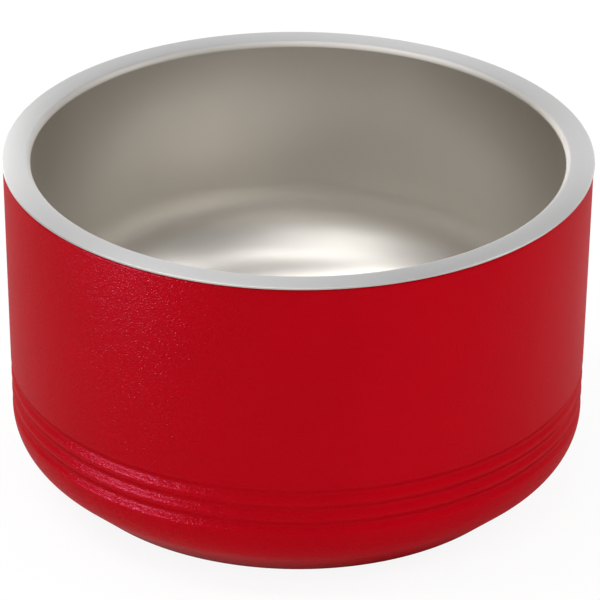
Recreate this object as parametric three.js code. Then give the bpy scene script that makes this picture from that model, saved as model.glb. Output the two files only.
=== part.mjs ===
// Insulated pet bowl: a satin steel liner hangs by its flat rim in a powder-coated steel shell.
// A welded base plate closes the space between the walls, which is pumped empty and sealed.
// A cover disc hides the seal, and a non-slip ring in a channel under the shell carries the bowl.
// Millimetres, +Z up, with the origin on the floor at the bowl's axis.
import * as THREE from 'three';

// Overall size
const rimDiameter = 171.5;
const overallHeight = 99.6;

// Liner: the steel bowl that holds the food or water, with its flat rim
const linerSheet = 0.7;
const rimWidth = 8.3;
const rimBendRadius = 1.7;
const linerDraft = 1;
const linerCornerRadius = 34;

// Shell: the coated outer wall, turned in under the rim and under the base
const shellSheet = 0.7;
const rimOverhang = 0.3;
const ledgeSetback = 1;
const shellBendRadius = 1;
const wallLean = 1.2;
const kneeHeight = 14;
const kneeRadius = 14.8;
const footConeInset = 15.05;
const footBendRadius = 1.2;

// Rolled grooves round the shell above its foot, counted up from the lowest
const grooveCount = 3;
const grooveStandoff = 0.7;
const groovePitch = 5.15;
const grooveWidth = 4;
const grooveDepth = 0.8;

// Non-slip ring and the channel that holds it
const footHeight = 0.6;
const footLandWidth = 2.5;
const channelDepth = 2.6;
const ringWidth = 6;
const ringEdgeRadius = 1;
const ringClearance = 0.3;

// Base plate, with the dimple that the space is pumped out through
const plateSheet = 0.7;
const plateSeatWidth = 5;
const dimpleRadius = 9;
const dimpleRoofRadius = 5.5;
const dimpleRise = 2.2;
const pumpHoleRadius = 1.2;
const beadClearance = 0.7;
const beadHeight = 1.7;

// Cover disc under the base plate
const coverSheet = 0.5;
const coverSeatWidth = 6;
const coverPanelInset = 3;
const coverStepWidth = 1;
const coverPlateGap = 0.3;

// Getter: a gas-absorbing pellet in a small cup on the base plate, with room under the liner's floor
const getterOffset = 32;
const getterHeadroom = 10.6;
const getterCupRadius = 6;
const getterCupHeight = 4;
const getterCupWall = 0.4;
const pelletClearance = 0.3;
const pelletHeight = 3.2;

// Facets round a full turn, and along a bend, the knee, the liner's corner, the bead's dome and a groove
const turnSteps = 40;
const smallTurnSteps = 20;
const bendSteps = 3;
const kneeSteps = 5;
const linerCornerSteps = 8;
const domeSteps = 5;
const grooveSteps = 4;

const quarter = Math.PI / 2;
const point = (radius, height) => new THREE.Vector2(radius, height);

// Points on an arc about a centre, from one angle to another, both in radians from +radius
function arc(centre, radius, from, to, steps) {
  return Array.from({ length: steps + 1 }, (_, index) => {
    const angle = from + ((to - from) * index) / steps;
    return point(centre.x + radius * Math.cos(angle), centre.y + radius * Math.sin(angle));
  });
}

// Points that round off a corner on a line that turns to its right there
function bend(before, corner, after, radius, steps) {
  const back = before.clone().sub(corner).normalize();
  const ahead = after.clone().sub(corner).normalize();
  const half = back.angleTo(ahead) / 2;
  const inward = back.clone().add(ahead).normalize();
  const centre = corner.clone().addScaledVector(inward, radius / Math.sin(half));
  const start = corner.clone().addScaledVector(back, radius / Math.tan(half));
  const from = start.sub(centre).angle();
  return arc(centre, radius, from, from - (Math.PI - 2 * half), steps);
}

// The direction square to a stretch of line, on its right-hand side
function rightOf(start, end) {
  const along = end.clone().sub(start).normalize();
  return point(along.y, -along.x);
}

// Sheet metal: the line is one face, and the other face lies to its right by the sheet's thickness
function sheetOutline(line, thickness) {
  const last = line.length - 1;
  const back = line.map((corner, index) => {
    const before = index > 0 ? rightOf(line[index - 1], corner) : rightOf(corner, line[1]);
    const after = index < last ? rightOf(corner, line[index + 1]) : before;
    const mitre = before.clone().add(after).divideScalar(1 + before.dot(after));
    return corner.clone().addScaledVector(mitre, thickness);
  });
  return [...line, ...back.reverse()];
}

// A solid of revolution about Z: an outline on the axis stays open there, and any other is closed
function turned(name, outline, steps, material) {
  const loop = THREE.ShapeUtils.isClockWise(outline) ? [...outline].reverse() : outline;
  const profile = loop[0].x > 0 ? [...loop, loop[0]] : loop;
  const geometry = new THREE.LatheGeometry(profile, steps);
  geometry.rotateX(quarter);
  const mesh = new THREE.Mesh(geometry, material);
  mesh.name = name;
  return mesh;
}

const satinSteel = new THREE.MeshStandardMaterial({ color: 0xb4b0aa, roughness: 0.35, metalness: 1 });
const redCoat = new THREE.MeshStandardMaterial({ color: 0xab0013, roughness: 0.6, metalness: 0 });
const plainSteel = new THREE.MeshStandardMaterial({ color: 0xa9a8a6, roughness: 0.4, metalness: 1 });
const sealMetal = new THREE.MeshStandardMaterial({ color: 0x8e9094, roughness: 0.5, metalness: 1 });
const getterGrey = new THREE.MeshStandardMaterial({ color: 0x5b5b5e, roughness: 0.8, metalness: 0.6 });
const darkSilicone = new THREE.MeshStandardMaterial({ color: 0x1d1d1f, roughness: 0.8, metalness: 0 });

// Heights from the ground up to the liner's floor
const channelRoof = footHeight + channelDepth;
const plateUnderside = channelRoof + shellSheet;
const plateTop = plateUnderside + plateSheet;
const bowlFloor = plateTop + getterCupHeight + getterHeadroom + linerSheet;

// Liner
const rimRadius = rimDiameter / 2;
const linerTopRadius = rimRadius - rimWidth;
const linerFootRadius = linerTopRadius - linerDraft;
const rimUnderside = overallHeight - linerSheet;
const rimFlatRadius = linerTopRadius + rimBendRadius;

function innerBowl() {
  const cornerCentre = point(linerFootRadius - linerCornerRadius, bowlFloor + linerCornerRadius);
  const rimCentre = point(rimFlatRadius, overallHeight - rimBendRadius);
  const line = [
    point(0, bowlFloor),
    ...arc(cornerCentre, linerCornerRadius, -quarter, 0, linerCornerSteps),
    ...arc(rimCentre, rimBendRadius, 2 * quarter, quarter, bendSteps),
    point(rimRadius, overallHeight),
  ];
  return turned('inner_bowl', sheetOutline(line, linerSheet), turnSteps, satinSteel);
}

// Shell
const wallTopRadius = rimRadius - rimOverhang;
const wallFootRadius = wallTopRadius - wallLean;
const wallTopHeight = rimUnderside - shellBendRadius;
const footRadius = wallFootRadius - footConeInset;
const channelRadius = footRadius - footLandWidth;
const ringOuterRadius = channelRadius - ringClearance;
const ringInnerRadius = ringOuterRadius - ringWidth;
const coverRadius = ringInnerRadius - ringClearance;
const baseOpeningRadius = coverRadius - coverSeatWidth;

function wallRadius(height) {
  return wallFootRadius + (wallLean * (height - kneeHeight)) / (wallTopHeight - kneeHeight);
}

// One groove from its upper edge to its lower edge, deepest in the middle
function groove(middle) {
  return Array.from({ length: grooveSteps + 1 }, (_, index) => {
    const share = index / grooveSteps;
    const height = middle + grooveWidth * (0.5 - share);
    const depth = grooveDepth * Math.sin(Math.PI * share) ** 2;
    return point(wallRadius(height) - depth, height);
  });
}

function outerShell() {
  const ledgeCentre = point(wallTopRadius - shellBendRadius, wallTopHeight);
  const wallTop = point(wallTopRadius, wallTopHeight);
  const knee = point(wallFootRadius, kneeHeight);
  const foot = point(footRadius, footHeight);
  const land = point(channelRadius, footHeight);
  const kneeBend = bend(wallTop, knee, foot, kneeRadius, kneeSteps);
  const lowestGroove = kneeBend[0].y + grooveStandoff + grooveWidth / 2;
  const grooves = [];
  for (let index = grooveCount - 1; index >= 0; index -= 1) {
    grooves.push(...groove(lowestGroove + index * groovePitch));
  }
  const line = [
    point(rimFlatRadius + ledgeSetback, rimUnderside),
    ...arc(ledgeCentre, shellBendRadius, quarter, 0, bendSteps),
    ...grooves,
    ...kneeBend,
    ...bend(knee, foot, land, footBendRadius, bendSteps),
    land,
    point(channelRadius, channelRoof),
    point(baseOpeningRadius, channelRoof),
  ];
  return turned('outer_shell', sheetOutline(line, shellSheet), turnSteps, redCoat);
}

// Base plate, which lies on the shell's turned-in edge
function basePlate() {
  const line = [
    point(pumpHoleRadius, plateTop + dimpleRise),
    point(dimpleRoofRadius, plateTop + dimpleRise),
    point(dimpleRadius, plateTop),
    point(baseOpeningRadius + plateSeatWidth, plateTop),
  ];
  return turned('base_plate', sheetOutline(line, plateSheet), turnSteps, plainSteel);
}

// Bead of solder that closes the pump hole, domed downwards under the dimple's roof
function sealBead() {
  const beadTop = plateUnderside + dimpleRise;
  const beadRadius = dimpleRoofRadius - beadClearance;
  const outline = arc(point(0, 0), 1, 0, -quarter, domeSteps).map(
    (unit) => point(unit.x * beadRadius, beadTop + unit.y * beadHeight),
  );
  outline[outline.length - 1].x = 0;
  return turned('seal_bead', [point(0, beadTop), ...outline], smallTurnSteps, sealMetal);
}

// Cover disc, seated under the shell's turned-in edge, with its middle panel pressed up
function baseCover() {
  const panelRadius = baseOpeningRadius - coverPanelInset;
  const panelTop = plateUnderside - coverPlateGap;
  const line = [
    point(0, panelTop),
    point(panelRadius - coverStepWidth, panelTop),
    point(panelRadius, channelRoof),
    point(coverRadius, channelRoof),
  ];
  return turned('base_cover', sheetOutline(line, coverSheet), turnSteps, plainSteel);
}

// Non-slip ring, pressed up against the channel's roof, with its two lower edges rounded
function nonslipRing() {
  const innerEdge = point(ringInnerRadius + ringEdgeRadius, ringEdgeRadius);
  const outerEdge = point(ringOuterRadius - ringEdgeRadius, ringEdgeRadius);
  const outline = [
    point(ringInnerRadius, channelRoof),
    ...arc(innerEdge, ringEdgeRadius, 2 * quarter, 3 * quarter, bendSteps),
    ...arc(outerEdge, ringEdgeRadius, -quarter, 0, bendSteps),
    point(ringOuterRadius, channelRoof),
  ];
  return turned('nonslip_ring', outline, turnSteps, darkSilicone);
}

// Getter cup and its pellet, standing on the base plate beside the dimple
function getter() {
  const boreRadius = getterCupRadius - getterCupWall;
  const pelletRadius = boreRadius - pelletClearance;
  const cup = [
    point(0, 0),
    point(getterCupRadius, 0),
    point(getterCupRadius, getterCupHeight),
    point(boreRadius, getterCupHeight),
    point(boreRadius, getterCupWall),
    point(0, getterCupWall),
  ];
  const pellet = [
    point(0, getterCupWall),
    point(pelletRadius, getterCupWall),
    point(pelletRadius, getterCupWall + pelletHeight),
    point(0, getterCupWall + pelletHeight),
  ];
  const group = new THREE.Group();
  group.add(turned('getter_cup', cup, smallTurnSteps, plainSteel));
  group.add(turned('getter_pellet', pellet, smallTurnSteps, getterGrey));
  group.position.set(getterOffset, 0, plateTop);
  return group;
}

const bowl = new THREE.Group();
bowl.add(innerBowl(), outerShell(), basePlate(), sealBead(), baseCover(), nonslipRing(), getter());

export default bowl;
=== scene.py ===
import math

import bpy
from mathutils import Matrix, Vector


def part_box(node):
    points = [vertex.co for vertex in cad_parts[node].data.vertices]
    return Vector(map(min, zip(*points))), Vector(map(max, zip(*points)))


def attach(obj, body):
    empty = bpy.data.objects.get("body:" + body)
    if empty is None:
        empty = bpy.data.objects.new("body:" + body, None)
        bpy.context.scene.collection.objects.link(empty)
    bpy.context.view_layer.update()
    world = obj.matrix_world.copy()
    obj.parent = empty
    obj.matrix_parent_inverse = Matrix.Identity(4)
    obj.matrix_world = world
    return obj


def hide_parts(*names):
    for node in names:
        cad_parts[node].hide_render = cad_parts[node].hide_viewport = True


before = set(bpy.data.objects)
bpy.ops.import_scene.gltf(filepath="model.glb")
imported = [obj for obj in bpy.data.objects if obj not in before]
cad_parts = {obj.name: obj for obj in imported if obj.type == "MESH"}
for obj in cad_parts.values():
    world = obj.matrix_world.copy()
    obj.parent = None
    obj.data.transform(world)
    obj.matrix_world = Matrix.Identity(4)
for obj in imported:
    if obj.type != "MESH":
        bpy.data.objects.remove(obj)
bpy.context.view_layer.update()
print("loaded the frame:", sorted(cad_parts))

mm = 0.001               # every length below is a real size in millimetres turned to metres
spinSteps = 192          # faces round a full turn of the wide pieces
smallSpinSteps = 64      # the same for the getter and the seal
weldGap = 0.002 * mm     # points closer than this are joined after a spin


def toLinear(hexColour):
    # sRGB hex to the linear colour that a shader socket takes
    channels = [int(hexColour[i:i + 2], 16) / 255 for i in (0, 2, 4)]
    linear = [c / 12.92 if c <= 0.04045 else ((c + 0.055) / 1.055) ** 2.4 for c in channels]
    return (*linear, 1.0)


def addNode(tree, kind, settings={}, links={}):
    # one node with its settings and the sockets that feed it
    node = tree.nodes.new(kind)
    for key, value in settings.items():
        if isinstance(key, int) or key in node.inputs:
            node.inputs[key].default_value = value
        else:
            setattr(node, key, value)
    for key, socket in links.items():
        tree.links.new(socket, node.inputs[key])
    return node


def startMaterial(name):
    material = bpy.data.materials.new(name)
    material.use_nodes = True
    tree = material.node_tree
    tree.nodes.clear()
    place = addNode(tree, "ShaderNodeTexCoord").outputs["Object"]
    return material, tree, place


def finishMaterial(tree, settings, links):
    skin = addNode(tree, "ShaderNodeBsdfPrincipled", settings, links)
    addNode(tree, "ShaderNodeOutputMaterial", {}, {"Surface": skin.outputs["BSDF"]})


# Sections are (radius, height) points, drawn in the XZ plane and spun about the bowl's axis

def roundBend(centre, radius, fromDegrees, toDegrees, steps):
    points = []
    for step in range(steps + 1):
        angle = math.radians(fromDegrees + (toDegrees - fromDegrees) * step / steps)
        points.append((centre[0] + radius * math.cos(angle), centre[1] + radius * math.sin(angle)))
    return points


def roundCorner(before, corner, after, radius, steps):
    # a corner where the line turns to its right, rounded off
    back = (Vector(before) - Vector(corner)).normalized()
    ahead = (Vector(after) - Vector(corner)).normalized()
    half = back.angle(ahead) / 2
    centre = Vector(corner) + (back + ahead).normalized() * radius / math.sin(half)
    start = Vector(corner) + back * radius / math.tan(half) - centre
    fromDegrees = math.degrees(math.atan2(start.y, start.x))
    return roundBend(centre, radius, fromDegrees, fromDegrees - 180 + math.degrees(2 * half), steps)


def spinSection(name, section, steps, axis=(0, 0, 0)):
    bpy.ops.object.select_all(action="DESELECT")
    bpy.ops.mesh.primitive_plane_add(size=1 * mm)
    piece = bpy.context.object
    piece.name = name
    piece.data.name = name
    bpy.ops.object.mode_set(mode="EDIT")
    bpy.ops.mesh.select_all(action="SELECT")
    bpy.ops.mesh.merge(type="CENTER")        # the plane becomes one vertex, the section's first point
    bpy.ops.transform.translate(value=(axis[0] + section[0][0], axis[1], section[0][1]))
    for before, after in zip(section, section[1:]):
        step = (after[0] - before[0], 0, after[1] - before[1])
        bpy.ops.mesh.extrude_region_move(TRANSFORM_OT_translate={"value": step})
    bpy.ops.mesh.select_all(action="SELECT")
    bpy.ops.mesh.spin(steps=steps, angle=2 * math.pi, center=axis, axis=(0, 0, 1))
    bpy.ops.mesh.select_all(action="SELECT")
    bpy.ops.mesh.remove_doubles(threshold=weldGap)
    bpy.ops.mesh.normals_make_consistent(inside=False)
    bpy.ops.object.mode_set(mode="OBJECT")
    return piece


def thicken(piece, thickness):
    # the drawn face stays where it is, and the sheet grows behind it
    wall = piece.modifiers.new("sheet", "SOLIDIFY")
    wall.thickness = thickness
    wall.offset = -1
    wall.use_even_offset = True
    bpy.ops.object.modifier_apply(modifier=wall.name)


def softenEdges(piece, width, angle=50, segments=3):
    edge = piece.modifiers.new("edges", "BEVEL")
    edge.width = width
    edge.segments = segments
    edge.limit_method = "ANGLE"
    edge.angle_limit = math.radians(angle)
    bpy.ops.object.modifier_apply(modifier=edge.name)
    bpy.ops.object.shade_smooth_by_angle(angle=math.radians(angle))


def dress(piece, node, material):
    piece.data.materials.append(material)
    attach(piece, "root")
    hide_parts(node)
    print("made", piece.name, "with", len(piece.data.polygons), "faces")


# Finishes

noiseSpan = (0.3, 0.7)       # nearly all values of a noise texture lie in here
noiseSumSpan = (0.7, 1.3)    # the same for the sum of two


def polishMarks(tree, place, settings):
    # scratches round the axis, finer on the real steel and drawn as coarse as they need to show
    split = addNode(tree, "ShaderNodeSeparateXYZ", {}, {0: place})
    around = addNode(tree, "ShaderNodeMath", {"operation": "ARCTAN2"},
                     {0: split.outputs["Y"], 1: split.outputs["X"]})
    level = addNode(tree, "ShaderNodeCombineXYZ", {},
                    {"X": split.outputs["X"], "Y": split.outputs["Y"]})
    out = addNode(tree, "ShaderNodeVectorMath", {"operation": "LENGTH"}, {0: level.outputs[0]})
    flat = addNode(tree, "ShaderNodeVectorMath", {"operation": "NORMALIZE"}, {0: level.outputs[0]})
    along = addNode(tree, "ShaderNodeMath", {"operation": "MULTIPLY", 1: settings["grainTurn"]},
                    {0: around.outputs[0]})
    lines = addNode(tree, "ShaderNodeCombineXYZ", {}, {
        "X": along.outputs[0], "Y": out.outputs["Value"], "Z": split.outputs["Z"]})
    scratch = addNode(tree, "ShaderNodeTexNoise", {
        "Scale": 1 / settings["scratchWidth"], "Detail": 3, "Roughness": 0.6},
        {"Vector": lines.outputs[0]})
    cloud = addNode(tree, "ShaderNodeTexNoise", {"Scale": 1 / settings["cloudSize"], "Detail": 2},
                    {"Vector": place})
    worn = addNode(tree, "ShaderNodeMath", {"operation": "ADD"},
                   {0: scratch.outputs[0], 1: cloud.outputs[0]})
    rough = addNode(tree, "ShaderNodeMapRange", {
        "From Min": noiseSumSpan[0], "From Max": noiseSumSpan[1],
        "To Min": settings["roughLow"], "To Max": settings["roughHigh"]}, {"Value": worn.outputs[0]})
    tone = addNode(tree, "ShaderNodeMix", {
        "data_type": "RGBA", 6: toLinear(settings["colour"]), 7: toLinear(settings["deepColour"])},
        {0: cloud.outputs[0]})
    bump = addNode(tree, "ShaderNodeBump", {"Strength": settings["scratchStrength"],
                                            "Distance": settings["scratchDepth"]},
                   {"Height": scratch.outputs[0]})
    turn = addNode(tree, "ShaderNodeTangent", {"direction_type": "RADIAL", "axis": "Z"})
    return {"tone": tone.outputs[2], "rough": rough.outputs[0], "bump": bump.outputs[0],
            "round": turn.outputs[0], "outward": flat.outputs[0], "height": split.outputs["Z"]}


def brushedStainless(settings):
    # Stainless sheet, brushed in a lathe: reflections drawn out across the brush lines
    material, tree, place = startMaterial("brushedStainless")
    marks = polishMarks(tree, place, settings)
    finishMaterial(tree, {"Metallic": 1.0, "Anisotropic": settings["drawnOut"]}, {
        "Base Color": marks["tone"], "Roughness": marks["rough"],
        "Normal": marks["bump"], "Tangent": marks["outward"]})
    return material


def satinStainless(settings):
    # Stainless steel, drawn and satin polished: warm soft reflections inside, a dull warm bend at the
    # top and a duller ground rim, whose cooler neutral tone is painted light for the cooler light its
    # top catches
    material, tree, place = startMaterial("satinStainless")
    marks = polishMarks(tree, place, settings)
    rise = addNode(tree, "ShaderNodeMapRange", {
        "From Min": settings["groundFrom"], "From Max": settings["groundTo"]},
        {"Value": marks["height"]})
    top = addNode(tree, "ShaderNodeMapRange", {
        "From Min": settings["topFrom"], "From Max": settings["topTo"]}, {"Value": marks["height"]})
    # painted light: the same steel turns a cooler neutral grey on the rim's top, standing in for the
    # cooler light it catches there
    tone = addNode(tree, "ShaderNodeMix", {"data_type": "RGBA", 7: toLinear(settings["rimPaintedLight"])},
                   {0: top.outputs[0], 6: marks["tone"]})
    dulling = addNode(tree, "ShaderNodeMix", {
        "data_type": "FLOAT", 2: settings["bendDulling"], 3: settings["rimDulling"]},
        {0: top.outputs[0]})
    rough = addNode(tree, "ShaderNodeMath", {"operation": "MULTIPLY_ADD"},
                    {0: rise.outputs[0], 1: dulling.outputs[0], 2: marks["rough"]})
    # reflections are drawn out round the bowl inside it, and across the rim on top
    grain = addNode(tree, "ShaderNodeMix", {"data_type": "VECTOR"},
                    {0: rise.outputs[0], 4: marks["round"], 5: marks["outward"]})
    finishMaterial(tree, {"Metallic": 1.0, "Anisotropic": settings["drawnOut"]}, {
        "Base Color": tone.outputs[2], "Roughness": rough.outputs[0],
        "Normal": marks["bump"], "Tangent": grain.outputs[1]})
    return material


def redPowderCoat(settings):
    # Polyester powder coat, sprayed and baked: a dull deep body under a thin sandy skin whose grains
    # glint. The real grain is about half as wide, and is drawn coarser so that it shows.
    material, tree, place = startMaterial("redPowderCoat")
    grain = addNode(tree, "ShaderNodeTexNoise", {"Scale": 1 / settings["grainSize"], "Detail": 1},
                    {"Vector": place})
    cloud = addNode(tree, "ShaderNodeTexNoise", {"Scale": 1 / settings["cloudSize"], "Detail": 1},
                    {"Vector": place})
    tone = addNode(tree, "ShaderNodeMix", {
        "data_type": "RGBA", 6: toLinear(settings["colour"]), 7: toLinear(settings["deepColour"])},
        {0: cloud.outputs[0]})
    bump = addNode(tree, "ShaderNodeBump", {"Strength": settings["grainStrength"],
                                            "Distance": settings["grainDepth"]},
                   {"Height": grain.outputs[0]})
    finishMaterial(tree, {
        "Metallic": settings["flake"], "Roughness": settings["roughness"],
        "Specular IOR Level": settings["specular"],
        "Coat Weight": settings["skin"], "Coat Roughness": settings["skinRoughness"],
        "Coat IOR": settings["skinIor"]},
        {"Base Color": tone.outputs[2], "Normal": bump.outputs[0], "Coat Normal": bump.outputs[0]})
    return material


def mattSilicone(settings):
    # Moulded silicone rubber: dark, dull, with a very slight mottle from the mould
    material, tree, place = startMaterial("mattSilicone")
    mottle = addNode(tree, "ShaderNodeTexNoise", {"Scale": 1 / settings["mottleSize"], "Detail": 3},
                     {"Vector": place})
    tone = addNode(tree, "ShaderNodeMix", {
        "data_type": "RGBA", 6: toLinear(settings["colour"]), 7: toLinear(settings["paleColour"])},
        {0: mottle.outputs[0]})
    bump = addNode(tree, "ShaderNodeBump", {"Strength": settings["mottleStrength"],
                                            "Distance": settings["mottleDepth"]},
                   {"Height": mottle.outputs[0]})
    finishMaterial(tree, {"Roughness": settings["roughness"], "IOR": settings["ior"]},
                   {"Base Color": tone.outputs[2], "Normal": bump.outputs[0]})
    return material


def dullMetal(name, settings):
    # Solder or pressed metal powder: a matt grey metal with a grainy skin
    material, tree, place = startMaterial(name)
    grain = addNode(tree, "ShaderNodeTexNoise", {"Scale": 1 / settings["grainSize"], "Detail": 4},
                    {"Vector": place})
    rough = addNode(tree, "ShaderNodeMapRange", {
        "From Min": noiseSpan[0], "From Max": noiseSpan[1],
        "To Min": settings["roughLow"], "To Max": settings["roughHigh"]}, {"Value": grain.outputs[0]})
    bump = addNode(tree, "ShaderNodeBump", {"Strength": settings["grainStrength"],
                                            "Distance": settings["grainDepth"]},
                   {"Height": grain.outputs[0]})
    finishMaterial(tree, {"Base Color": toLinear(settings["colour"]), "Metallic": 1.0},
                   {"Roughness": rough.outputs[0], "Normal": bump.outputs[0]})
    return material


linerLow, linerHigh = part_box("inner_bowl")
rimTop = linerHigh.z
linerFinish = {         # duller from groundFrom up, and from topFrom up in a cooler neutral tone, painted light for the cooler light the rim's top catches
    "colour": "CCC8C2", "deepColour": "C9C5BF", "rimPaintedLight": "C5C4C4",
    "roughLow": 0.34, "roughHigh": 0.38, "rimDulling": 0.16, "bendDulling": 0.3, "drawnOut": 0.6,
    "groundFrom": rimTop - 2.0 * mm, "groundTo": rimTop - 1.2 * mm,
    "topFrom": rimTop - 0.3 * mm, "topTo": rimTop - 0.05 * mm,
    "scratchWidth": 0.35 * mm, "grainTurn": 0.004, "cloudSize": 30 * mm,
    "scratchStrength": 0.006, "scratchDepth": 0.01 * mm,
}
coatFinish = {
    "colour": "AA0010", "deepColour": "A4000F", "flake": 0.02, "roughness": 0.3, "specular": 0.0,
    "skin": 0.2, "skinRoughness": 0.22, "skinIor": 1.25,
    "grainSize": 0.5 * mm, "cloudSize": 25 * mm, "grainStrength": 1.0, "grainDepth": 0.18 * mm,
}
plainFinish = {
    "colour": "C8C6C2", "deepColour": "C2C0BC", "roughLow": 0.28, "roughHigh": 0.42, "drawnOut": 0.6,
    "scratchWidth": 0.4 * mm, "grainTurn": 0.004, "cloudSize": 20 * mm,
    "scratchStrength": 0.25, "scratchDepth": 0.015 * mm,
}
siliconeFinish = {
    "colour": "1B1B1D", "paleColour": "232326", "roughness": 0.72, "ior": 1.41,
    "mottleSize": 1.2 * mm, "mottleStrength": 0.3, "mottleDepth": 0.03 * mm,
}
solderFinish = {"colour": "9C9DA0", "roughLow": 0.3, "roughHigh": 0.5,
                "grainSize": 1.5 * mm, "grainStrength": 0.5, "grainDepth": 0.04 * mm}
getterFinish = {"colour": "5E5E62", "roughLow": 0.6, "roughHigh": 0.85,
                "grainSize": 0.3 * mm, "grainStrength": 0.5, "grainDepth": 0.05 * mm}

satinSteel = satinStainless(linerFinish)
plainSteel = brushedStainless(plainFinish)
redCoat = redPowderCoat(coatFinish)
darkSilicone = mattSilicone(siliconeFinish)
sealSolder = dullMetal("tinSolder", solderFinish)
getterPowder = dullMetal("pressedGetterPowder", getterFinish)
print("mixed the finishes")


# Liner: the satin steel bowl with its flat rim
liner = {
    "sheet": 0.7 * mm, "rimWidth": 8.3 * mm, "rimBend": 1.7 * mm, "bendSteps": 10,
    "draft": 1 * mm, "corner": 34 * mm, "cornerSteps": 40, "edge": 0.3 * mm,
}
rimRadius = linerHigh.x
bowlFloor = linerLow.z + liner["sheet"]
linerTopRadius = rimRadius - liner["rimWidth"]
linerCorner = (linerTopRadius - liner["draft"] - liner["corner"], bowlFloor + liner["corner"])
linerBend = (linerTopRadius + liner["rimBend"], rimTop - liner["rimBend"])
innerBowl = spinSection("innerBowl", [
    (0, bowlFloor),
    *roundBend(linerCorner, liner["corner"], -90, 0, liner["cornerSteps"]),
    *roundBend(linerBend, liner["rimBend"], 180, 90, liner["bendSteps"]),
    (rimRadius, rimTop),
], spinSteps)
thicken(innerBowl, liner["sheet"])
softenEdges(innerBowl, liner["edge"])
dress(innerBowl, "inner_bowl", satinSteel)

# Shell: the coated wall, with its grooves, its cone-shaped foot and the ring channel
shellLow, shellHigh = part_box("outer_shell")
coverLow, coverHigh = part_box("base_cover")
shell = {
    "sheet": 0.7 * mm, "ledgeSetback": 1 * mm, "bend": 1 * mm, "bendSteps": 6, "lean": 1.2 * mm,
    "kneeHeight": 14 * mm, "kneeRadius": 14.8 * mm, "kneeSteps": 20,
    "coneInset": 15.05 * mm, "footBend": 1.2 * mm, "footSteps": 8,
    "grooves": 3, "grooveStandoff": 0.2 * mm, "groovePitch": 5.15 * mm, "grooveWidth": 5 * mm,
    "grooveDepth": 0.9 * mm, "grooveSteps": 20,
    "landWidth": 2.5 * mm, "channelDepth": 2.6 * mm, "seatWidth": 6 * mm, "edge": 0.25 * mm,
}
wallTop = (shellHigh.x, shellHigh.z - shell["bend"])
knee = (wallTop[0] - shell["lean"], shell["kneeHeight"])
foot = (knee[0] - shell["coneInset"], shellLow.z)
land = (foot[0] - shell["landWidth"], shellLow.z)
channelRoof = shellLow.z + shell["channelDepth"]
baseOpening = coverHigh.x - shell["seatWidth"]


def wallRadius(height):
    share = (height - knee[1]) / (wallTop[1] - knee[1])
    return knee[0] + shell["lean"] * share


def rolledGroove(middle):
    # from the groove's upper edge to its lower edge, deepest half way
    points = []
    for step in range(shell["grooveSteps"] + 1):
        share = step / shell["grooveSteps"]
        height = middle + shell["grooveWidth"] * (0.5 - share)
        depth = shell["grooveDepth"] * math.sin(math.pi * share) ** 2
        points.append((wallRadius(height) - depth, height))
    return points


kneeBend = roundCorner(wallTop, knee, foot, shell["kneeRadius"], shell["kneeSteps"])
lowestGroove = kneeBend[0][1] + shell["grooveStandoff"] + shell["grooveWidth"] / 2
shellLine = [(linerBend[0] + shell["ledgeSetback"], shellHigh.z)]
ledgeBend = (wallTop[0] - shell["bend"], wallTop[1])
shellLine += roundBend(ledgeBend, shell["bend"], 90, 0, shell["bendSteps"])
for number in reversed(range(shell["grooves"])):
    shellLine += rolledGroove(lowestGroove + number * shell["groovePitch"])
shellLine += kneeBend
shellLine += roundCorner(knee, foot, land, shell["footBend"], shell["footSteps"])
shellLine += [land, (land[0], channelRoof), (baseOpening, channelRoof)]
outerShell = spinSection("outerShell", shellLine, spinSteps)
thicken(outerShell, shell["sheet"])
softenEdges(outerShell, shell["edge"])
dress(outerShell, "outer_shell", redCoat)

# Base plate: the disc on the shell's turned-in edge, with the dimple that it is pumped out through
plateLow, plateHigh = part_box("base_plate")
plate = {
    "sheet": 0.7 * mm, "dimple": 9 * mm, "dimpleRoof": 5.5 * mm, "pumpHole": 1.2 * mm,
    "edge": 0.15 * mm, "edgeAngle": 25,
}
plateTop = plateLow.z + plate["sheet"]
basePlate = spinSection("basePlate", [
    (plate["pumpHole"], plateHigh.z),
    (plate["dimpleRoof"], plateHigh.z),
    (plate["dimple"], plateTop),
    (plateHigh.x, plateTop),
], spinSteps)
thicken(basePlate, plate["sheet"])
softenEdges(basePlate, plate["edge"], plate["edgeAngle"])
dress(basePlate, "base_plate", plainSteel)

# Seal: the drop of solder that closes the pump hole, hanging under the dimple's roof
beadLow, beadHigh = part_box("seal_bead")
bead = {"domeSteps": 12, "edge": 0.1 * mm}
beadDrop = beadHigh.z - beadLow.z
beadDome = [(beadHigh.x * x, beadHigh.z + beadDrop * z)
            for x, z in roundBend((0, 0), 1, 0, -90, bead["domeSteps"])]
sealBead = spinSection("sealBead", [(0, beadHigh.z), *beadDome[:-1], (0, beadLow.z)], smallSpinSteps)
softenEdges(sealBead, bead["edge"])
dress(sealBead, "seal_bead", sealSolder)

# Cover: the thin disc under the base, with its middle panel pressed up
cover = {"sheet": 0.5 * mm, "panelInset": 3 * mm, "step": 1 * mm, "edge": 0.15 * mm, "edgeAngle": 12}
panelRadius = baseOpening - cover["panelInset"]
coverSeat = coverLow.z + cover["sheet"]
baseCover = spinSection("baseCover", [
    (0, coverHigh.z),
    (panelRadius - cover["step"], coverHigh.z),
    (panelRadius, coverSeat),
    (coverHigh.x, coverSeat),
], spinSteps)
thicken(baseCover, cover["sheet"])
softenEdges(baseCover, cover["edge"], cover["edgeAngle"])
dress(baseCover, "base_cover", plainSteel)

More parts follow.
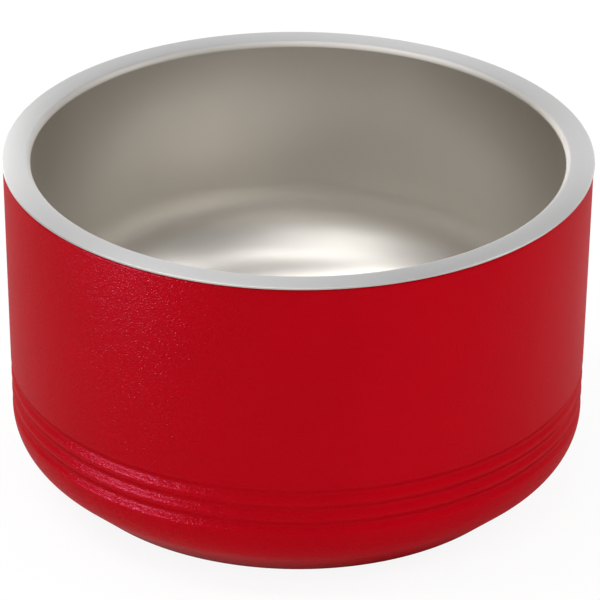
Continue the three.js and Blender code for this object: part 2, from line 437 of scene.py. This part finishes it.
# Non-slip ring: silicone, rounded where it meets the ground
ringLow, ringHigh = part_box("nonslip_ring")
ring = {"width": 6 * mm, "round": 1 * mm, "roundSteps": 6, "edge": 0.2 * mm}
ringInner = ringHigh.x - ring["width"]
innerRound = (ringInner + ring["round"], ringLow.z + ring["round"])
outerRound = (ringHigh.x - ring["round"], ringLow.z + ring["round"])
ringSection = [
    (ringInner, ringHigh.z),
    *roundBend(innerRound, ring["round"], 180, 270, ring["roundSteps"]),
    *roundBend(outerRound, ring["round"], -90, 0, ring["roundSteps"]),
    (ringHigh.x, ringHigh.z),
]
nonslipRing = spinSection("nonslipRing", [*ringSection, ringSection[0]], spinSteps)
softenEdges(nonslipRing, ring["edge"])
dress(nonslipRing, "nonslip_ring", darkSilicone)

# Getter: a pellet of gas-absorbing powder in a small steel cup, inside the closed space
cupLow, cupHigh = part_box("getter_cup")
pelletLow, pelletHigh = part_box("getter_pellet")
getter = {"cupWall": 0.4 * mm, "cupEdge": 0.1 * mm, "pelletEdge": 0.3 * mm}
getterAxis = ((cupLow.x + cupHigh.x) / 2, (cupLow.y + cupHigh.y) / 2, 0)
cupRadius = (cupHigh.x - cupLow.x) / 2
cupBore = cupRadius - getter["cupWall"]
cupFloor = cupLow.z + getter["cupWall"]
pelletRadius = (pelletHigh.x - pelletLow.x) / 2
getterCup = spinSection("getterCup", [
    (0, cupLow.z), (cupRadius, cupLow.z), (cupRadius, cupHigh.z),
    (cupBore, cupHigh.z), (cupBore, cupFloor), (0, cupFloor),
], smallSpinSteps, getterAxis)
softenEdges(getterCup, getter["cupEdge"])
dress(getterCup, "getter_cup", plainSteel)
getterPellet = spinSection("getterPellet", [
    (0, pelletLow.z), (pelletRadius, pelletLow.z), (pelletRadius, pelletHigh.z), (0, pelletHigh.z),
], smallSpinSteps, getterAxis)
softenEdges(getterPellet, getter["pelletEdge"])
dress(getterPellet, "getter_pellet", getterPowder)

# Stage: a pale floor, soft lamps and the camera at the photograph's angle
stage = {
    "floorColour": "F4F4F4", "floorSize": 40.0, "plainColour": "FFFFFF", "plainShare": 0.9,
    "shadowMiddle": (100 * mm, 0, 0), "shadowFrom": 100 * mm, "shadowTo": 180 * mm,
    "worldColour": "FFFFFF", "worldStrength": 0.45,
    "lampAim": (0, 0, 50 * mm), "lampDistance": 1.5, "lampSize": (0.62, 0.62), "lampColour": "FFFFFF",
}
lamps = {       # azimuth in degrees from the right, anticlockwise seen from above
    "glintCard": {"azimuth": 205, "elevation": 1.8, "watts": 62, "size": (0.5, 0.13),
                  "colour": "D6BEFF", "coatOnly": True},
    "leftLamp": {"azimuth": 180, "elevation": 60, "watts": 8.5},
    "rightLamp": {"azimuth": 0, "elevation": 37, "watts": 5.9},
    "topLamp": {"azimuth": 0, "elevation": 90, "watts": 3.4, "size": (0.7, 0.7)},
    "backLeftLamp": {"azimuth": 120, "elevation": 14, "watts": 7.1},
    "backLamp": {"azimuth": 90, "elevation": 14, "watts": 1.4},
    "backRightLamp": {"azimuth": 60, "elevation": 14, "watts": 3.0},
    "stripLamp": {"azimuth": 270, "elevation": 56, "watts": 3.1, "size": (1.5, 0.16)},
    "frontLamp": {"azimuth": 270, "elevation": 37, "watts": 1.5},
    "fillLamp": {"azimuth": 240, "elevation": 37, "watts": 2.3},
}
camera = {
    "target": (0.79 * mm, 0, 51.43 * mm), "distance": 1.3051, "elevation": 27.46, "roll": 0.4,
    "lens": 266.06, "sensor": 36,
}

bpy.ops.object.select_all(action="DESELECT")
bpy.ops.mesh.primitive_plane_add(size=stage["floorSize"])
floor = bpy.context.object
floor.name = "floor"
floorPaint, floorTree, floorPlace = startMaterial("paleFloor")
# the camera sees the floor mostly as plain white, and so do the steel and the coat, apart from the part
# of the floor near the bowl
ray = addNode(floorTree, "ShaderNodeLightPath")
apart = addNode(floorTree, "ShaderNodeVectorMath", {
    "operation": "DISTANCE", 1: stage["shadowMiddle"]}, {0: floorPlace})
clear = addNode(floorTree, "ShaderNodeMapRange", {
    "From Min": stage["shadowFrom"], "From Max": stage["shadowTo"]}, {"Value": apart.outputs["Value"]})
mirrored = addNode(floorTree, "ShaderNodeMath", {"operation": "ADD"},
                   {0: ray.outputs["Is Glossy Ray"], 1: ray.outputs["Is Transmission Ray"]})
seen = addNode(floorTree, "ShaderNodeMath", {"operation": "MULTIPLY_ADD"},
               {0: mirrored.outputs[0], 1: clear.outputs[0], 2: ray.outputs["Is Camera Ray"]})
whiteness = addNode(floorTree, "ShaderNodeMath", {"operation": "MULTIPLY", 1: stage["plainShare"]},
                    {0: seen.outputs[0]})
lit = addNode(floorTree, "ShaderNodeBsdfDiffuse", {"Color": toLinear(stage["floorColour"])})
plain = addNode(floorTree, "ShaderNodeEmission", {
    "Color": toLinear(stage["plainColour"]), "Strength": 1.0})
floorSkin = addNode(floorTree, "ShaderNodeMixShader", {},
                    {0: whiteness.outputs[0], 1: lit.outputs[0], 2: plain.outputs[0]})
addNode(floorTree, "ShaderNodeOutputMaterial", {}, {"Surface": floorSkin.outputs[0]})
floor.data.materials.append(floorPaint)

coatedPieces = bpy.data.collections.new("coatedPieces")        # what a lamp for the coat alone lights
coatedPieces.objects.link(outerShell)
for name, lamp in lamps.items():
    turn, rise = math.radians(lamp["azimuth"]), math.radians(lamp["elevation"])
    away = Vector((math.cos(rise) * math.cos(turn), math.cos(rise) * math.sin(turn), math.sin(rise)))
    place = Vector(stage["lampAim"]) + away * stage["lampDistance"]
    bpy.ops.object.light_add(type="AREA", location=place,
                             rotation=away.to_track_quat("Z", "Y").to_euler())
    light = bpy.context.object
    light.name = name
    light.data.shape = "RECTANGLE"
    light.data.size, light.data.size_y = lamp.get("size", stage["lampSize"])
    light.data.energy = lamp["watts"]
    light.data.color = toLinear(lamp.get("colour", stage["lampColour"]))[:3]
    light.visible_camera = False
    if lamp.get("coatOnly"):        # the card shows only as a glint in the coat's gloss
        light.visible_diffuse = False
        light.light_linking.receiver_collection = coatedPieces

world = bpy.data.worlds.new("softRoom")
world.use_nodes = True
sky = world.node_tree.nodes["Background"]
sky.inputs["Color"].default_value = toLinear(stage["worldColour"])
sky.inputs["Strength"].default_value = stage["worldStrength"]
bpy.context.scene.world = world

tilt = math.radians(camera["elevation"])
back = Vector((0, -math.cos(tilt), math.sin(tilt))) * camera["distance"]
bpy.ops.object.camera_add(location=Vector(camera["target"]) + back)
eye = bpy.context.object
eye.rotation_mode = "XYZ"
eye.rotation_euler = (math.radians(90) - tilt, 0, 0)
eye.rotation_euler.rotate_axis("Z", math.radians(camera["roll"]))
eye.data.lens = camera["lens"]
eye.data.sensor_width = camera["sensor"]
bpy.context.scene.camera = eye
bpy.context.scene.view_settings.view_transform = "Standard"
print("set the stage")
